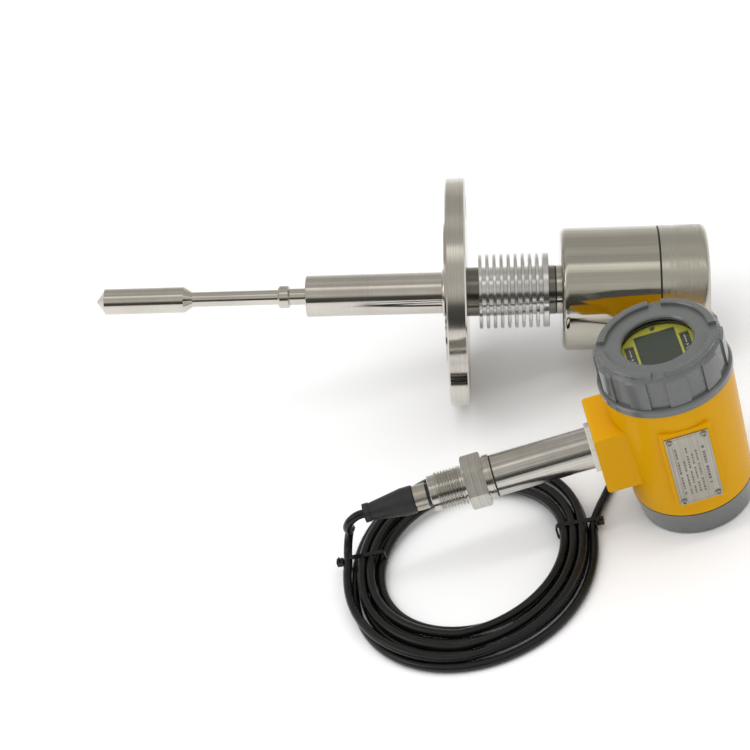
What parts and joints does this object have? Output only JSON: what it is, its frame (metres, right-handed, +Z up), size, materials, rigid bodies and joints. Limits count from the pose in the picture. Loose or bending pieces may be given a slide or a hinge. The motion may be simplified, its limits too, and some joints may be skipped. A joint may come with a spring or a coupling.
{
  "type": "inline viscometer",
  "caption": "Inline vibrating-rod viscometer: flanged stainless sensor with finned neck and round head, joined by a coiled cable to a cast transmitter with a windowed screw cover.",
  "frame": {"origin": "on the surface that it lies on, under the middle of the sensor and transmitter together", "axes": "+Z up; +X along the sensor from the tip of its rod towards its head cap, seen from above; +Y from the transmitter towards the sensor"},
  "size_m": [0.4472, 0.3855, 0.1635],
  "materials": {
    "polished_stainless": "turned and polished",
    "satin_stainless": "finely brushed",
    "orange_paint": "gloss enamel",
    "grey_paint": "wrinkled powder coat",
    "nickel": "nickel plated",
    "black_rubber": "matte",
    "cable_sheath": "satin",
    "window_glass": "clear",
    "bare_aluminium": "satin",
    "black_plastic": "satin",
    "yellow_plastic": "printed film",
    "grey_plastic": "satin",
    "display_glass": "glossy",
    "green_board": "solder mask",
    "brass_post": "machined",
    "copper_winding": "enamelled wire",
    "armature_steel": "ground"
  },
  "bodies": {
    "viscometer": {"sensing_rod": "polished_stainless", "rod_collar": "polished_stainless", "torsion_rod": "polished_stainless", "sheath_tube": "polished_stainless", "process_flange": "polished_stainless", "cooling_radiator": "polished_stainless", "neck_seal": "black_rubber", "head_housing": "polished_stainless", "coil_bracket": "bare_aluminium", "drive_coil": "copper_winding", "pickup_coil": "copper_winding", "armature": "armature_steel", "amplifier_board": "green_board", "amplifier_posts": "brass_post", "gland_body": "polished_stainless", "gland_nut": "polished_stainless", "gland_seal": "black_rubber", "gland_locknut": "polished_stainless", "transmitter_housing": "orange_paint", "display_body": "black_plastic", "face_plate": "yellow_plastic", "lcd_panel": "display_glass", "face_plate_screws": "nickel", "display_board": "green_board", "main_board": "green_board", "board_posts": "brass_post", "terminal_block": "black_plastic", "nameplate": "bare_aluminium", "nameplate_screws": "nickel", "blanking_plug": "satin_stainless", "neck_locknut": "satin_stainless", "neck_tube": "satin_stainless", "tube_seal": "black_rubber", "threaded_fitting": "satin_stainless", "connector_socket": "black_plastic", "plug_body": "black_plastic", "cable_boot": "black_rubber", "cable_to_plug": "cable_sheath", "cable_coil": "cable_sheath", "cable_to_head": "cable_sheath", "cable_tie_left": "cable_sheath", "cable_tie_right": "cable_sheath"},
    "front_ring": {"front_seal": "black_rubber"},
    "front_cover": {"front_cover": "grey_paint", "cover_glass": "window_glass", "glass_seal": "black_rubber", "glass_retainer": "bare_aluminium"},
    "rear_ring": {"rear_seal": "black_rubber"},
    "rear_cover": {"rear_cover": "grey_paint"},
    "head_ring": {"head_seal": "black_rubber"},
    "head_cap": {"head_cap": "satin_stainless"},
    "coupling_ring": {"coupling_ring": "nickel"},
    "key_left": {"key_left": "grey_plastic"},
    "key_right": {"key_right": "grey_plastic"}
  },
  "joints": [
    {"name": "front_seal_travel", "type": "slide", "parent": "viscometer", "child": "front_ring", "axis": [0, 0, 1], "range_m": [0, 0.012]},
    {"name": "front_unscrew", "type": "hinge", "parent": "front_ring", "child": "front_cover", "pos_m": [0.1794, -0.103, 0.12], "axis": [0, 0, 1], "range_deg": [0, 2160]},
    {"name": "rear_seal_travel", "type": "slide", "parent": "viscometer", "child": "rear_ring", "axis": [0, 0, -1], "range_m": [0, 0.012]},
    {"name": "rear_unscrew", "type": "hinge", "parent": "rear_ring", "child": "rear_cover", "pos_m": [0.1794, -0.103, 0.01], "axis": [0, 0, -1], "range_deg": [0, 2160]},
    {"name": "head_seal_travel", "type": "slide", "parent": "viscometer", "child": "head_ring", "axis": [0.975, 0, -0.2221], "range_m": [0, 0.012]},
    {"name": "head_unscrew", "type": "hinge", "parent": "head_ring", "child": "head_cap", "pos_m": [0.18745, 0.068, 0.04691], "axis": [0.975, 0, -0.2221], "range_deg": [0, 2160]},
    {"name": "coupling_ring_turn", "type": "hinge", "parent": "viscometer", "child": "coupling_ring", "pos_m": [0.00511, -0.12749, 0.0663], "axis": [-0.9903, -0.1392, 0], "range_deg": [0, 90]},
    {"name": "key_left_press", "type": "slide", "parent": "viscometer", "child": "key_left", "axis": [0, 0, -1], "range_m": [0, 0.0005], "stiffness_N_per_m": 400},
    {"name": "key_right_press", "type": "slide", "parent": "viscometer", "child": "key_right", "axis": [0, 0, -1], "range_m": [0, 0.0005], "stiffness_N_per_m": 400}
  ],
  "couplings": [
    {"joint": "front_seal_travel", "follows": "front_unscrew", "m_per_rad": 0.0003183},
    {"joint": "rear_seal_travel", "follows": "rear_unscrew", "m_per_rad": 0.0003183},
    {"joint": "head_seal_travel", "follows": "head_unscrew", "m_per_rad": 0.0003183}
  ]
}
